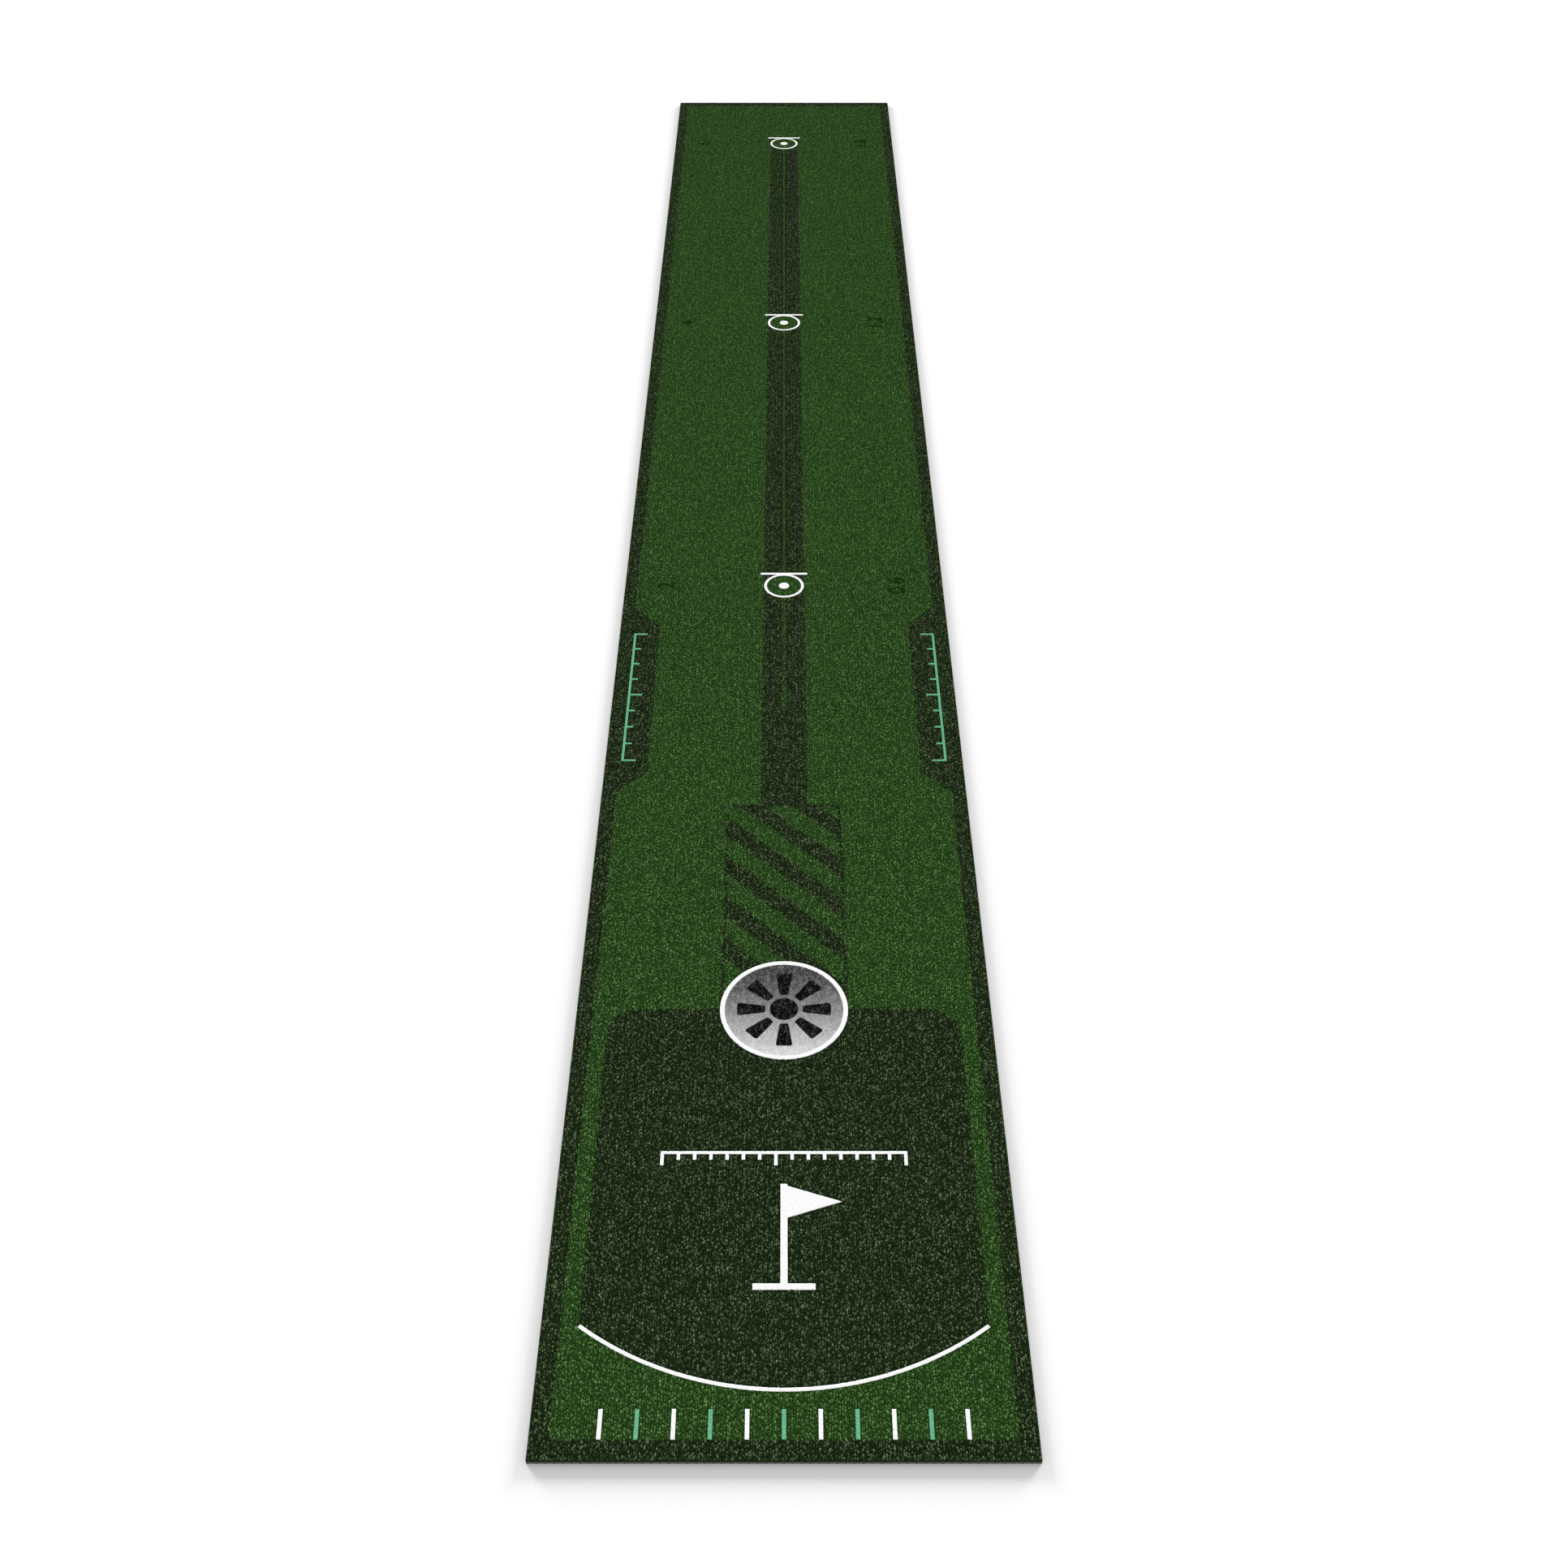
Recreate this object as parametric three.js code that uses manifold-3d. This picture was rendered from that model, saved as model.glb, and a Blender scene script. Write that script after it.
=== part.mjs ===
// A practice putting mat, rolled out flat: a printed cut-pile strip on a non-slip rubber sheet.
// Millimetres, +Z up. X runs across the mat and Y along it. The golfer stands beside the -Y end,
// so every place along the mat is given as a distance from that near end.
// The origin is at the middle of the underside.
import * as THREE from "three";
import { mergeVertices } from "three/addons/utils/BufferGeometryUtils.js";
import Module from "manifold-3d";

const wasm = await Module();
wasm.setup();

// ---------------------------------------------------------------- driving dimensions

const matLength = 2400;
const matWidth = 350;

// The layers, from the floor up. Bonded faces stay this far apart.
const rubberThickness = 1.8;
const lockCoatThickness = 0.3;
const carrierThickness = 0.5;
const layerGap = 0.1;

// The pile. Dye reaches down from the tips: deeper in the wide fields than in the marks
// printed over them. Two dyed regions keep dyeGap between them.
const undyedRoot = 0.5;
const fieldUnderMark = 0.4;
const markDyeDepth = 0.6;
const dyeGap = 0.3;
const fieldDyeDepth = markDyeDepth + dyeGap + fieldUnderMark;
const pileHeight = undyedRoot + dyeGap + fieldDyeDepth;

// The dark border, and the two tabs that widen it beside the guide.
const borderSide = 13.5;
const borderEnd = 14.5;
const tabReach = 41.4;
const tabFromGuide = 18;
const tabFromTarget = 42;

// The row of stance ticks along the near border.
const tickCount = 11;
const tickPitch = 25.4;
const tickWidth = 2.7;
const tickLength = 22;

// The dark start panel, its curved near edge and the white line along that edge.
const sideStrip = 14;
const arcFromTicks = 14.6;
const arcRise = 49.5;
const arcLineWidth = 2.6;
const panelCornerRadius = 28;

// The flag and the aiming scale on the start panel.
const flagFromArc = 125;
const flagHeight = 92;
const flagLine = 5;
const pennantLength = 44;
const pennantHeight = 32;
const flagFoot = 46;
const scaleFromFlag = 70;
const scaleTickCount = 16;
const scalePitch = 12.7;
const scaleDepth = 13;
const scaleLine = 2.4;

// The printed cup: a regulation hole with its rim, slotted face and centre.
const holeFromNear = 398.8;
const holeDiameter = 108;
const holeRimWidth = 4;
const cupCentreRadius = 12;
const slotCount = 8;
const slotFromCentre = 4;
const slotFromRim = 10.5;
const slotInnerWidth = 7;
const slotOuterWidth = 13.8;
const slotCornerRadius = 1.8;

// The striped guide beyond the cup, as wide as the cup.
const guideLength = 254;
const guideCornerRadius = 9.5;
const guideLineWidth = 1.8;
const stripeCount = 6;
const stripeBand = 23.5;
const stripeAngle = THREE.MathUtils.degToRad(45);
const firstStripeBeyondGuide = 18.2;

// The targets, evenly spaced from the cup to the last one.
const targetCount = 3;
const lastTargetFromFar = 172.4;
const targetDiameter = 43.8;
const targetLineWidth = 3;
const targetDotRadius = 5.6;
const targetBarLength = 51.5;
const targetBarWidth = 3.2;
const targetBarBeyondRing = 0.7;

// The lane through the targets, with the arrow and line along its middle.
const arrowFromGuide = 133;
const arrowLength = 33;
const arrowWidth = 7;
const aimLineWidth = 2.6;

// The scales on the border's tabs.
const tabScaleTickCount = 9;
const tabScalePitch = 25.4;
const tabScaleDepth = 14;
const tabScaleFromEdge = 22.5;
const tabScaleLine = 2.2;

// Curves are cut into straight steps no longer and no sharper than these.
const longestStep = 6;
const sharpestStep = Math.PI / 8;

// ---------------------------------------------------------------- places that follow

const lockCoatBase = rubberThickness + layerGap;
const carrierBase = lockCoatBase + lockCoatThickness + layerGap;
const pileBase = carrierBase + carrierThickness + layerGap;
const pileTop = pileBase + pileHeight;

const halfWidth = matWidth / 2;
const halfLength = matLength / 2;
const fieldHalfWidth = halfWidth - borderSide;
const panelHalfWidth = fieldHalfWidth - sideStrip;

const tickStart = borderEnd + 2 * dyeGap;
const arcLow = tickStart + tickLength + arcFromTicks;
const arcRadius = (panelHalfWidth ** 2 + arcRise ** 2) / (2 * arcRise);
const arcHalfAngle = Math.asin(panelHalfWidth / arcRadius);

const holeRadius = holeDiameter / 2;
const guideEnd = holeFromNear + guideLength;
// The first stripe crosses the guide's far edge and the last one crosses the cup.
const stripePitch = guideLength / (stripeCount - 1);
const lastTarget = matLength - lastTargetFromFar;
// At the mat's own length this comes to 609.6 mm, two feet.
const targetPitch = (lastTarget - holeFromNear) / targetCount;
const targetRadius = targetDiameter / 2;
const targets = Array.from({ length: targetCount }, (_, i) => holeFromNear + (i + 1) * targetPitch);
const barCentre = targetRadius + targetBarBeyondRing;

const fromNear = (distance) => distance - halfLength;

// ---------------------------------------------------------------- colours

const colours = {
  rubber: 0x1b1b1c,
  lockCoat: 0x8d8a7c,
  carrier: 0x2b3a26,
  green: 0x35562a,
  dark: 0x222d1e,
  white: 0xf2f4f1,
  teal: 0x5cb08c,
  grey: 0x9a9b9d,
  black: 0x141614,
};

const roughness = { rubber: 0.75, lockCoat: 0.6 };
const pileRoughness = 0.95;

function materialOf(finish) {
  return new THREE.MeshStandardMaterial({
    name: finish,
    color: colours[finish],
    roughness: roughness[finish] ?? pileRoughness,
    metalness: 0,
  });
}

// ---------------------------------------------------------------- outlines

const point = (x, y) => new THREE.Vector2(x, y);

function arcPoints(x, y, radius, startAngle, endAngle) {
  const turn = endAngle - startAngle;
  const byLength = Math.ceil((Math.abs(turn) * radius) / longestStep);
  const bySharpness = Math.ceil(Math.abs(turn) / sharpestStep);
  const steps = Math.max(byLength, bySharpness);
  return Array.from({ length: steps + 1 }, (_, i) => {
    const angle = startAngle + (turn * i) / steps;
    return point(x + radius * Math.cos(angle), y + radius * Math.sin(angle));
  });
}

function circle(x, y, radius) {
  return arcPoints(x, y, radius, 0, 2 * Math.PI).slice(0, -1);
}

function rectangle(left, right, low, high) {
  return [point(left, low), point(right, low), point(right, high), point(left, high)];
}

// The corner between two straight edges, replaced by an arc that meets both.
function fillet(before, corner, after, radius) {
  const toBefore = before.clone().sub(corner).normalize();
  const toAfter = after.clone().sub(corner).normalize();
  const halfAngle = Math.acos(toBefore.dot(toAfter)) / 2;
  const reach = radius / Math.tan(halfAngle);
  const inward = toBefore.clone().add(toAfter).normalize();
  const centre = corner.clone().addScaledVector(inward, radius / Math.sin(halfAngle));
  const first = corner.clone().addScaledVector(toBefore, reach).sub(centre);
  const last = corner.clone().addScaledVector(toAfter, reach).sub(centre);
  const side = Math.sign(first.cross(last));
  const turn = side * Math.acos(first.dot(last) / radius ** 2);
  return arcPoints(centre.x, centre.y, radius, first.angle(), first.angle() + turn);
}

// An outline whose corners are rounded by the radii given, one for each corner.
function rounded(corners, radii) {
  return corners.flatMap((corner, i) => {
    const before = corners.at(i - 1);
    const after = corners[(i + 1) % corners.length];
    return radii[i] > 0 ? fillet(before, corner, after, radii[i]) : [corner];
  });
}

// A closed outline moved outwards by distance, along the mitre of each corner.
function offset(outline, distance) {
  const side = THREE.ShapeUtils.isClockWise(outline) ? -1 : 1;
  const normal = (from, to) => {
    const along = to.clone().sub(from).normalize();
    return point(along.y, -along.x);
  };
  return outline.map((corner, i) => {
    const normalBefore = normal(outline.at(i - 1), corner);
    const normalAfter = normal(corner, outline[(i + 1) % outline.length]);
    const stretch = (side * distance) / (1 + normalBefore.dot(normalAfter));
    return corner.clone().addScaledVector(normalBefore.add(normalAfter), stretch);
  });
}

// A comb: a spine along X with teeth towards -Y, long at both ends and in the middle.
function comb(toothCount, pitch, depth, line) {
  const half = ((toothCount - 1) * pitch) / 2;
  const shortTooth = 0.6;
  const teeth = Array.from({ length: toothCount }, (_, i) => {
    const x = half - i * pitch;
    const isLong = i === 0 || i === toothCount - 1 || i === Math.floor(toothCount / 2);
    const reach = isLong ? depth : depth * shortTooth;
    const tooth = rectangle(x - line / 2, x + line / 2, depth / 2 - reach, depth / 2 - line);
    return [tooth[2], tooth[1], tooth[0], tooth[3]];
  });
  const spineTop = depth / 2;
  const ends = [point(-half - line / 2, spineTop), point(half + line / 2, spineTop)];
  // The end teeth share their outer edges with the spine, so their top corners drop out.
  return [...ends, ...teeth.flat().slice(1, -1)];
}

function moved(outline, x, y, angle = 0) {
  const origin = point(0, 0);
  return outline.map((corner) => corner.clone().rotateAround(origin, angle).add(point(x, y)));
}

// ---------------------------------------------------------------- solids

function slab(outline, holes, low, high) {
  const shape = new THREE.Shape(outline);
  shape.holes = holes.map((hole) => new THREE.Path(hole));
  const geometry = new THREE.ExtrudeGeometry(shape, { depth: high - low, bevelEnabled: false });
  geometry.translate(0, 0, low);
  geometry.deleteAttribute("normal");
  geometry.deleteAttribute("uv");
  const merged = mergeVertices(geometry);
  return new wasm.Manifold(
    new wasm.Mesh({
      numProp: 3,
      vertProperties: merged.attributes.position.array,
      triVerts: new Uint32Array(merged.index.array),
    }),
  );
}

function meshOf(name, solid, finish) {
  const { vertProperties, triVerts } = solid.getMesh();
  const geometry = new THREE.BufferGeometry();
  geometry.setAttribute("position", new THREE.BufferAttribute(vertProperties, 3));
  geometry.setIndex(new THREE.BufferAttribute(triVerts, 1));
  const mesh = new THREE.Mesh(geometry.toNonIndexed(), materialOf(finish));
  mesh.geometry.computeVertexNormals();
  mesh.name = name;
  return mesh;
}

// The dyed regions of the pile in the order they are printed. A region takes its outline out of
// everything printed before it, dyeGap wider all round and dyeGap deeper.
const regions = [];

function print(name, finish, dyeDepth, outlines, { holes = [], within } = {}) {
  const above = pileTop + dyeGap;
  const floor = pileTop - dyeDepth;
  const joined = (grow, low, high) =>
    outlines
      .map((outline) => slab(grow(outline, dyeGap), holes.map((hole) => grow(hole, -dyeGap)), low, high))
      .reduce((sum, next) => sum.add(next));
  const same = (outline) => outline;
  let solid = joined(same, floor, pileTop);
  let pocket = joined(offset, floor - dyeGap, above);
  if (within) {
    solid = solid.intersect(slab(within, [], floor, pileTop));
    pocket = pocket.intersect(slab(offset(within, dyeGap), [], floor - dyeGap, above));
  }
  for (const earlier of regions) earlier.solid = earlier.solid.subtract(pocket);
  regions.push({ name, finish, solid });
}

const printField = (name, finish, outline, options) =>
  print(name, finish, fieldDyeDepth, [outline], options);
const printMark = (name, finish, ...outlines) => print(name, finish, markDyeDepth, outlines);

// ---------------------------------------------------------------- the printed pile

const matOutline = rectangle(-halfWidth, halfWidth, -halfLength, halfLength);

// The inner edge of the border on one side, from its near corner to its far one.
function borderInnerEdge(side) {
  const tabStart = fromNear(guideEnd + tabFromGuide);
  const tabEnd = fromNear(targets[0] - tabFromTarget);
  const tabHalfWidth = halfWidth - tabReach;
  const chamfer = tabReach - borderSide;
  return [
    point(side * fieldHalfWidth, fromNear(borderEnd)),
    point(side * fieldHalfWidth, tabStart),
    point(side * tabHalfWidth, tabStart + chamfer),
    point(side * tabHalfWidth, tabEnd - chamfer),
    point(side * fieldHalfWidth, tabEnd),
    point(side * fieldHalfWidth, fromNear(matLength - borderEnd)),
  ];
}

function printBorder() {
  const inner = [...borderInnerEdge(1), ...borderInnerEdge(-1).reverse()];
  printField("border_pile", "dark", matOutline, { holes: [inner] });
}

function printStartPanel() {
  const centreY = fromNear(arcLow + arcRadius);
  const down = -Math.PI / 2;
  const nearEdge = arcPoints(0, centreY, arcRadius, down - arcHalfAngle, down + arcHalfAngle);
  const corners = [
    ...nearEdge,
    point(panelHalfWidth, fromNear(holeFromNear)),
    point(-panelHalfWidth, fromNear(holeFromNear)),
  ];
  const radii = corners.map((_, i) => (i < nearEdge.length ? 0 : panelCornerRadius));
  printField("start_panel_pile", "dark", rounded(corners, radii));
  const outer = arcRadius + arcLineWidth / 2;
  const inner = arcRadius - arcLineWidth / 2;
  printMark("arc_line", "white", [
    ...arcPoints(0, centreY, outer, down - arcHalfAngle, down + arcHalfAngle),
    ...arcPoints(0, centreY, inner, down + arcHalfAngle, down - arcHalfAngle),
  ]);
}

function printTicks() {
  for (let i = 0; i < tickCount; i += 1) {
    const x = (i - (tickCount - 1) / 2) * tickPitch;
    const low = fromNear(tickStart);
    const outline = rectangle(x - tickWidth / 2, x + tickWidth / 2, low, low + tickLength);
    const name = "start_tick_" + String(i + 1).padStart(2, "0");
    printMark(name, i % 2 === 0 ? "white" : "teal", outline);
  }
}

// A pennant on a pole that stands on a short foot.
function printFlag() {
  const base = fromNear(arcLow + flagFromArc) - flagHeight / 2;
  const top = base + flagHeight;
  const pole = rectangle(-flagLine / 2, flagLine / 2, base, top);
  const foot = rectangle(-flagFoot / 2, flagFoot / 2, base, base + flagLine);
  const pennant = [
    point(-flagLine / 2, top - pennantHeight),
    point(pennantLength, top - pennantHeight / 2),
    point(-flagLine / 2, top),
  ];
  printMark("flag_mark", "white", pole, foot, pennant);
}

function printAimScale() {
  const y = fromNear(arcLow + flagFromArc + scaleFromFlag);
  const outline = comb(scaleTickCount, scalePitch, scaleDepth, scaleLine);
  printMark("aim_scale", "white", moved(outline, 0, y));
}

function printTabScales() {
  const y = fromNear((guideEnd + tabFromGuide + targets[0] - tabFromTarget) / 2);
  const outline = comb(tabScaleTickCount, tabScalePitch, tabScaleDepth, tabScaleLine);
  const x = halfWidth - tabScaleFromEdge;
  printMark("left_tab_scale", "teal", moved(outline, -x, y, Math.PI / 2));
  printMark("right_tab_scale", "teal", moved(outline, x, y, -Math.PI / 2));
}

function printGuide() {
  const outlineOf = (inset) => {
    const half = holeRadius - inset;
    const corners = rectangle(-half, half, fromNear(holeFromNear) + inset, fromNear(guideEnd) - inset);
    const radius = guideCornerRadius - inset;
    return rounded(corners, [0, 0, radius, radius]);
  };
  printField("guide_outline", "dark", outlineOf(0), { holes: [outlineOf(guideLineWidth)] });
  const clear = outlineOf(guideLineWidth + dyeGap);
  const rise = holeDiameter * Math.tan(stripeAngle);
  for (let i = 0; i < stripeCount; i += 1) {
    const middle = fromNear(guideEnd + firstStripeBeyondGuide - i * stripePitch);
    const band = [
      point(-holeDiameter, middle + rise - stripeBand / 2),
      point(holeDiameter, middle - rise - stripeBand / 2),
      point(holeDiameter, middle - rise + stripeBand / 2),
      point(-holeDiameter, middle + rise + stripeBand / 2),
    ];
    printField("guide_stripe_" + (i + 1), "dark", band, { within: clear });
  }
}

function printLane() {
  const low = fromNear(guideEnd + dyeGap);
  const high = fromNear(lastTarget + barCentre);
  printField("lane_pile", "dark", rectangle(-targetRadius, targetRadius, low, high));
}

// The arrow points back at the cup, and its tail runs on to the first target's ring.
function printAimLines() {
  const half = aimLineWidth / 2;
  const clear = 2 * dyeGap;
  const ringNear = (target) => fromNear(target - targetRadius - clear);
  const barFar = (target) => fromNear(target + barCentre + targetBarWidth / 2 + clear);
  const tip = fromNear(guideEnd + arrowFromGuide);
  const shoulder = tip + arrowLength;
  printMark("aim_arrow", "green", [
    point(0, tip),
    point(arrowWidth / 2, shoulder),
    point(half, shoulder),
    point(half, ringNear(targets[0])),
    point(-half, ringNear(targets[0])),
    point(-half, shoulder),
    point(-arrowWidth / 2, shoulder),
  ]);
  targets.slice(1).forEach((target, i) => {
    const outline = rectangle(-half, half, barFar(targets[i]), ringNear(target));
    printMark("aim_line_" + (i + 1), "green", outline);
  });
}

function printTargets() {
  targets.forEach((target, i) => {
    const y = fromNear(target);
    const barLow = y + barCentre - targetBarWidth / 2;
    const halfBar = targetBarLength / 2;
    const bar = rectangle(-halfBar, halfBar, barLow, barLow + targetBarWidth);
    printMark("target_ring_" + (i + 1), "white", circle(0, y, targetRadius), bar);
    printMark("target_green_" + (i + 1), "green", circle(0, y, targetRadius - targetLineWidth));
    printMark("target_dot_" + (i + 1), "white", circle(0, y, targetDotRadius));
  });
}

function printCup() {
  const y = fromNear(holeFromNear);
  const faceRadius = holeRadius - holeRimWidth;
  printMark("hole_rim", "white", circle(0, y, holeRadius));
  printMark("hole_face", "grey", circle(0, y, faceRadius));
  printMark("hole_centre", "black", circle(0, y, cupCentreRadius));
  const slotStart = cupCentreRadius + slotFromCentre;
  const slotEnd = faceRadius - slotFromRim;
  const corners = [
    point(slotStart, -slotInnerWidth / 2),
    point(slotEnd, -slotOuterWidth / 2),
    point(slotEnd, slotOuterWidth / 2),
    point(slotStart, slotInnerWidth / 2),
  ];
  const slot = rounded(corners, corners.map(() => slotCornerRadius));
  for (let i = 0; i < slotCount; i += 1) {
    const angle = (i * 2 * Math.PI) / slotCount;
    printMark("hole_slot_" + (i + 1), "black", moved(slot, 0, y, angle));
  }
}

// ---------------------------------------------------------------- the mat

const mat = new THREE.Group();

function addLayer(name, finish, low, thickness) {
  mat.add(meshOf(name, slab(matOutline, [], low, low + thickness), finish));
}

addLayer("rubber_backing", "rubber", 0, rubberThickness);
addLayer("lock_coat", "lockCoat", lockCoatBase, lockCoatThickness);
addLayer("carrier_fabric", "carrier", carrierBase, carrierThickness);

regions.push({ name: "green_pile", finish: "green", solid: slab(matOutline, [], pileBase, pileTop) });
printBorder();
printStartPanel();
printTicks();
printFlag();
printAimScale();
printTabScales();
printGuide();
printLane();
printAimLines();
printTargets();
printCup();
for (const { name, finish, solid } of regions) mat.add(meshOf(name, solid, finish));

export default mat;
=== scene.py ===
"""A practice putting mat, rolled out flat on a pale floor.

The mat is one laminate: a rubber sheet with a ribbed underside, a latex film, a carrier cloth and a
short cut pile. The pile is grown here as rows of yarn tufts, one piece for each region of dye, over
the solids of the frame. Metres throughout; the mat lies along Y with its near end at -Y.
"""
import math

import bmesh
import bpy
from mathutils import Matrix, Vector


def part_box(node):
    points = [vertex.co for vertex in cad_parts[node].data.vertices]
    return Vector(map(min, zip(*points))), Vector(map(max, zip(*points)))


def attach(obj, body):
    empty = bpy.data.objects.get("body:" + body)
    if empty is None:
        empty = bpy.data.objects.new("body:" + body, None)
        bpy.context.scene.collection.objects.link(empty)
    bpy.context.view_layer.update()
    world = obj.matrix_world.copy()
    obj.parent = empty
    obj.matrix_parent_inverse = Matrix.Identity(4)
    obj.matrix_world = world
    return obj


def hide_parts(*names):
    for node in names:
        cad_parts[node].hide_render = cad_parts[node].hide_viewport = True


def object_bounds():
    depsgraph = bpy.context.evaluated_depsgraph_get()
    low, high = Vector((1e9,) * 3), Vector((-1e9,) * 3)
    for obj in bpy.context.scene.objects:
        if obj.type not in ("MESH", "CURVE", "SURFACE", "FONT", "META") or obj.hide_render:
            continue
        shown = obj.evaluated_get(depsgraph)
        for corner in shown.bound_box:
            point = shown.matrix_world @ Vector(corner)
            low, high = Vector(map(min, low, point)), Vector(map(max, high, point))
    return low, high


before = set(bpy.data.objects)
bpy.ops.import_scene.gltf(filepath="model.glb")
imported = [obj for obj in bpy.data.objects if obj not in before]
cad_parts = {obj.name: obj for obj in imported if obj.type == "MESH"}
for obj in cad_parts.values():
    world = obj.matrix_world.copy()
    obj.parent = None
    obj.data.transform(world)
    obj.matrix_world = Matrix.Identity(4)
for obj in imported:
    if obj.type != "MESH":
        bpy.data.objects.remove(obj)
cad_low, cad_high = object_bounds()

MM = 0.001
BODY = "root"
LAYERS = ("rubber_backing", "lock_coat", "carrier_fabric")

# ---------------------------------------------------------------- sizes of the pile

# The tips of the yarn stand at the top of the frame's pile; the ground is the floor between them.
PILE_TOP = cad_high.z
TUFT_HEIGHT = 0.45 * MM
GROUND = PILE_TOP - TUFT_HEIGHT
TUFT_ROOT = 0.1 * MM

# A tuft of unit size is an oval foot with a ridge along it: how wide the foot is, over what length
# it keeps that width, and how long the ridge is.
FOOT_WIDTH = 0.84
FOOT_SHOULDERS = 0.48
RIDGE_LENGTH = 0.34

# Wide fields are tufted in coarse rows, and the marks between them in finer ones.
FIELD_ROWS = {"Row pitch": 1.85 * MM, "Stitch pitch": 2.5 * MM, "Width": 2.0 * MM, "Length": 2.9 * MM}
MARK_ROWS = {"Row pitch": 0.9 * MM, "Stitch pitch": 1.1 * MM, "Width": 1.15 * MM, "Length": 1.4 * MM}

# The green field is grown in this many bands along the mat, one piece each.
GREEN_BANDS = 6

# How far a tuft strays from its place, as a share of the pitch, and how far it turns and leans, in
# radians.
SCATTER = 0.34
TWIST = 0.3
LEAN = 0.12

# The least and most that tufts are sized by, over the ground and upwards.
SIZES = (0.85, 1.15)
RISES = (0.75, 1.15)

# Two fields of colour run into each other over this far on each side of the line between them.
FRAY = 1.3 * MM

# No tuft takes its dye from nearer the mat's outline than this.
DYED_EDGE = 0.3 * MM

# No tuft stands nearer than this to the wall of a mark or to the mat's edge. Tufts shrink there, so
# that their feet reach no further past it than this, but never to less than this share of their size.
EDGE_ROOM = 0.12 * MM
EDGE_REACH = 0.3 * MM
LEAST_SIZE = 0.55

# Along the mat's outline a closed row of tufts stands this far in, with this pitch.
HEM_INSET = 0.6 * MM
HEM_PITCH = 1.3 * MM

# Stitches are numbered by column and place, with room for this many places in a column.
PLACES = 4096

# The random numbers that a stitch needs, each with its own step from the seed.
SEED = 1
RANDOM_STEPS = (
    "place across", "place along", "tone", "twist", "lean across", "lean along", "size", "rise",
    "fray across", "fray along",
)

# Past both ends of the mat, for a region that isn't cut into bands.
PAST_THE_ENDS = 10.0

# Corners of the frame's solids that lie nearer than this are one.
CORNER_MERGE = 0.01 * MM

# Each region is widened by this, which all but closes the gaps that the frame leaves between dyes.
# A face is upright when its normal rises less than this, and corners are held to this sharpness.
WIDENING = 0.14 * MM
UPRIGHT = 0.5
SHARPEST = 0.3

# A ray that asks what lies under a place starts this far over it. One that asks what hangs over it
# reaches this far up.
RAY_LIFT = MM
RAY_UP = 1.0

# ---------------------------------------------------------------- the tones of the pile

# The light tufts gather a little in worms, so wide and so long, and more in every other place of
# every other row. The noise that draws the worms is stretched from this range.
WORM_WIDTH = 4 * MM
WORM_LENGTH = 8 * MM
WORM_SHARE = 0.28
WORM_NOISE = (0.32, 0.68)
LATTICE_SHARE = 0.16

# The cup's face grows paler towards its near side by this power of the way there.
FALL = 1.6

# A dye's chart runs from its darkest to its lightest tone, and from root to tip. Here are the tones
# that tufts use, how high on the chart their feet and ridges lie, how far their two ends stray from
# their tone, and the share of that by which their two sides do.
TONE_RANGE = (0.03, 0.97)
ROOT_RISE = 0.1
TIP_RISE = 0.97
SIDE_SPREAD = 0.03
SIDE_SLANT = 0.3

# The ground between the tufts takes a low strip of the chart: its heights, its darkest tone, and
# how far it follows the region's tone and the way to the near end. On that strip it takes the roots'
# colours, so it is painted in the shade between the tufts.
GROUND_STRIP = (0.02, 0.06)
GROUND_TONE = 0.02
GROUND_FOLLOWS = 0.9
GROUND_DRIFT = 0.05

# Yarn on its chart: fine fibres across and along it, how strongly they show, and where the colour
# turns from the root's to the tip's, which is where the painted shade between the tufts fades out.
FIBRES_ACROSS = 160.0
FIBRES_ALONG = 2.0
FIBRE_CONTRAST = 0.5
ROOT_SHADE_FADE = (0.08, 0.7)

# The distance figures beside the targets: feet on the left and metres on the right.
FEET_FROM_LEFT = 45.7 * MM
METRES_FROM_LEFT = 300 * MM
FEET_EACH = 2
METRES_EACH = 0.6
NUMERAL_SIZE = 26 * MM
NUMERAL_STROKE = 0.7 * MM
NUMERAL_LIFT = 10 * MM
NUMERAL_FADE = 0.95

# Each dye, as eight-bit sRGB numbers: the darkest and lightest yarn near its root, and the darkest
# and lightest tips. The roots are darker than the tips as painted shade down between the tufts.
DYES = {
    "green_pile": ((15, 34, 8), (57, 92, 39), (14, 38, 7), (102, 140, 81)),
    "dark_pile": ((18, 27, 11), (48, 63, 38), (18, 29, 10), (108, 126, 92)),
    "white_pile": ((248, 250, 248), (252, 253, 252), (252, 253, 252), (255, 255, 255)),
    "teal_pile": ((96, 166, 130), (104, 174, 138), (106, 180, 140), (142, 212, 176)),
    "grey_pile": ((46, 46, 47), (236, 236, 236), (56, 56, 57), (252, 252, 252)),
    "black_pile": ((2, 2, 2), (6, 6, 6), (2, 2, 2), (134, 136, 134)),
}

# The dyes that are laid down in wide fields. Marks have a clean outline, and so have these lines.
FIELD_DYES = ("green_pile", "dark_pile")
CLEAN_LINES = ("aim_line_1", "aim_line_2")

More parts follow.
